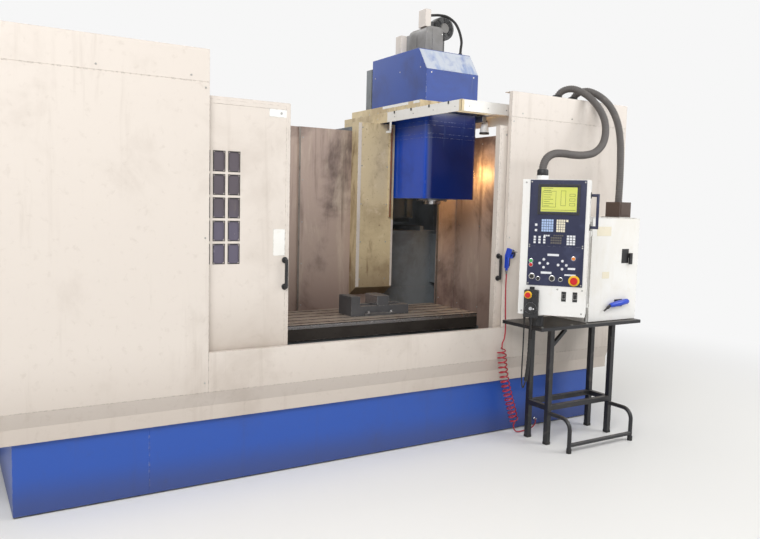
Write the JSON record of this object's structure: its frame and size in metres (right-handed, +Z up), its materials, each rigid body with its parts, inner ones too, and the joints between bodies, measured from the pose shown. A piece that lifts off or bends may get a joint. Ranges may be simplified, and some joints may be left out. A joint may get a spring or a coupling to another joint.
{
  "type": "cnc machining center",
  "caption": "Travelling-column vertical machining center with sliding front doors, a T-slot table, a swivelling control pendant and a control cabinet on a stand.",
  "frame": {"origin": "centre of the footprint on the floor", "axes": "+X to the right along the front, +Y from the front to the rear, +Z up"},
  "size_m": [3.824, 2.8605, 2.747],
  "materials": {
    "cast_grey": "painted casting",
    "pad_steel": "dull",
    "blue_base": "satin",
    "cream_panel": "satin",
    "cabinet_cream": "satin",
    "splash_panel": "dirty satin",
    "trough_steel": "stained",
    "table_iron": "ground",
    "vise_iron": "dull",
    "screw_steel": "turned",
    "rail_steel": "ground",
    "white_panel": "satin",
    "tan_panel": "dirty satin",
    "head_blue": "gloss",
    "motor_grey": "satin",
    "spindle_steel": "ground",
    "drum_dark": "satin",
    "stand_black": "satin",
    "handle_black": "matte",
    "pane": "slightly cloudy",
    "navy_panel": "satin",
    "key_plastic": "matte",
    "stop_red": "gloss",
    "black_plastic": "matte",
    "wheel_grey": "turned",
    "conduit_grey": "ribbed",
    "hose_red": "satin",
    "cable_black": "matte",
    "gun_blue": "gloss",
    "lamp_white": "gloss"
  },
  "bodies": {
    "base": {"bed": "cast_grey", "levelling_pads": "pad_steel", "base_skirt": "blue_base", "lower_fascia": "cream_panel", "front_apron": "cream_panel", "left_housing": "cream_panel", "right_housing": "cream_panel", "splash_walls": "splash_panel", "chip_troughs": "trough_steel", "work_table": "table_iron", "vise_base": "vise_iron", "x_rails": "rail_steel", "stand": "stand_black", "nc_cabinet": "white_panel", "electrical_cabinet": "cabinet_cream", "coolant_tank": "blue_base", "pendant_conduit": "conduit_grey", "cabinet_conduit": "conduit_grey", "air_hose": "hose_red", "air_hose_coil": "hose_red", "air_gun": "gun_blue"},
    "left_door": {"left_door": "cream_panel", "left_door_glass": "pane", "left_door_handle": "handle_black"},
    "right_door": {"right_door": "cream_panel", "right_door_glass": "pane", "right_door_handle": "handle_black"},
    "saddle": {"saddle": "cast_grey", "column": "cast_grey", "canopy": "white_panel", "magazine_cover": "tan_panel", "saddle_plates": "splash_panel", "work_lamp": "lamp_white"},
    "left_plate_outer": {"left_plate_outer": "splash_panel"},
    "left_plate_inner": {"left_plate_inner": "splash_panel"},
    "right_plate_inner": {"right_plate_inner": "splash_panel"},
    "right_plate_outer": {"right_plate_outer": "splash_panel"},
    "ram": {"ram": "cast_grey", "coaming": "tan_panel"},
    "head": {"spindle_head": "cast_grey", "head_cover": "head_blue", "upper_cover": "head_blue", "spindle_motor": "motor_grey"},
    "spindle": {"spindle": "spindle_steel"},
    "tool_drum": {"tool_drum": "drum_dark"},
    "vise_jaw": {"vise_jaw": "vise_iron"},
    "vise_screw": {"vise_screw": "screw_steel"},
    "pendant": {"pendant_housing": "white_panel", "pendant_panel": "navy_panel", "pendant_keypad": "key_plastic", "pulse_box": "black_plastic", "pulse_cable": "cable_black"},
    "pendant_stop": {"pendant_stop": "stop_red"},
    "rocker_left": {"rocker_left": "black_plastic"},
    "rocker_right": {"rocker_right": "black_plastic"},
    "pulse_wheel": {"pulse_wheel": "wheel_grey"},
    "pulse_stop": {"pulse_stop": "stop_red"},
    "nc_door": {"nc_door": "white_panel"},
    "nc_latch": {"nc_latch": "handle_black"},
    "cabinet_door": {"cabinet_door": "cabinet_cream"}
  },
  "joints": [
    {"name": "left_door_slide", "type": "slide", "parent": "base", "child": "left_door", "axis": [1, 0, 0], "range_m": [-0.37, 0.4925]},
    {"name": "right_door_slide", "type": "slide", "parent": "base", "child": "right_door", "axis": [1, 0, 0], "range_m": [-0.8565, 0.015]},
    {"name": "x_travel", "type": "slide", "parent": "base", "child": "saddle", "axis": [1, 0, 0], "range_m": [-1.66, 0]},
    {"name": "left_plate_inner_slide", "type": "slide", "parent": "base", "child": "left_plate_inner", "axis": [1, 0, 0], "range_m": [-1.107, 0]},
    {"name": "left_plate_outer_slide", "type": "slide", "parent": "base", "child": "left_plate_outer", "axis": [1, 0, 0], "range_m": [-0.5534, 0]},
    {"name": "right_plate_inner_slide", "type": "slide", "parent": "base", "child": "right_plate_inner", "axis": [1, 0, 0], "range_m": [-1.107, 0]},
    {"name": "right_plate_outer_slide", "type": "slide", "parent": "base", "child": "right_plate_outer", "axis": [1, 0, 0], "range_m": [-0.5534, 0]},
    {"name": "y_travel", "type": "slide", "parent": "saddle", "child": "ram", "axis": [0, 1, 0], "range_m": [-0.505, 0]},
    {"name": "z_travel", "type": "slide", "parent": "ram", "child": "head", "axis": [0, 0, 1], "range_m": [-0.51, 0]},
    {"name": "spindle_turn", "type": "hinge", "parent": "head", "child": "spindle", "pos_m": [0.965, -0.03, 1.6], "axis": [0, 0, 1], "continuous": true},
    {"name": "drum_turn", "type": "hinge", "parent": "saddle", "child": "tool_drum", "pos_m": [0.23, 0.39, 1.35], "axis": [0, 1, 0], "continuous": true},
    {"name": "vise_jaw_slide", "type": "slide", "parent": "base", "child": "vise_jaw", "axis": [1, 0, 0], "range_m": [-0.12, 0.12]},
    {"name": "vise_screw_turn", "type": "hinge", "parent": "base", "child": "vise_screw", "pos_m": [0.4, -0.285, 0.738], "axis": [1, 0, 0], "range_deg": [-8650, 8650]},
    {"name": "pendant_swivel", "type": "hinge", "parent": "base", "child": "pendant", "pos_m": [0.919, -1.163, 1], "axis": [0, 0, 1], "range_deg": [-30, 45]},
    {"name": "pendant_stop_press", "type": "slide", "parent": "pendant", "child": "pendant_stop", "axis": [0.7524, 0.6587, 0], "range_m": [0, 0.006], "stiffness_N_per_m": 900},
    {"name": "pulse_stop_press", "type": "slide", "parent": "pendant", "child": "pulse_stop", "axis": [0.7524, 0.6587, 0], "range_m": [0, 0.005], "stiffness_N_per_m": 700},
    {"name": "rocker_left_tip", "type": "hinge", "parent": "pendant", "child": "rocker_left", "pos_m": [0.94548, -1.34051, 0.906], "axis": [0.6587, -0.7524, 0], "range_deg": [-10, 10]},
    {"name": "rocker_right_tip", "type": "hinge", "parent": "pendant", "child": "rocker_right", "pos_m": [0.985, -1.38565, 0.906], "axis": [0.6587, -0.7524, 0], "range_deg": [-10, 10]},
    {"name": "pulse_wheel_turn", "type": "hinge", "parent": "pendant", "child": "pulse_wheel", "pos_m": [0.79531, -1.24337, 0.836], "axis": [0.7524, 0.6587, 0], "continuous": true},
    {"name": "nc_door_swing", "type": "hinge", "parent": "base", "child": "nc_door", "pos_m": [1.274, -1.209, 1], "axis": [0, 0, 1], "range_deg": [-90, 0]},
    {"name": "nc_latch_turn", "type": "hinge", "parent": "nc_door", "child": "nc_latch", "pos_m": [1.61, -1.22, 1.115], "axis": [0, 1, 0], "range_deg": [0, 90]},
    {"name": "cabinet_door_swing", "type": "hinge", "parent": "base", "child": "cabinet_door", "pos_m": [1.8983, 1.422, 1], "axis": [0, 0, 1], "range_deg": [0, 110]}
  ],
  "couplings": [
    {"joint": "left_plate_inner_slide", "follows": "x_travel", "ratio": 0.6667},
    {"joint": "left_plate_outer_slide", "follows": "x_travel", "ratio": 0.3333},
    {"joint": "right_plate_inner_slide", "follows": "x_travel", "ratio": 0.6667},
    {"joint": "right_plate_outer_slide", "follows": "x_travel", "ratio": 0.3333},
    {"joint": "vise_screw_turn", "follows": "vise_jaw_slide", "rad_per_m": 1256.6}
  ]
}
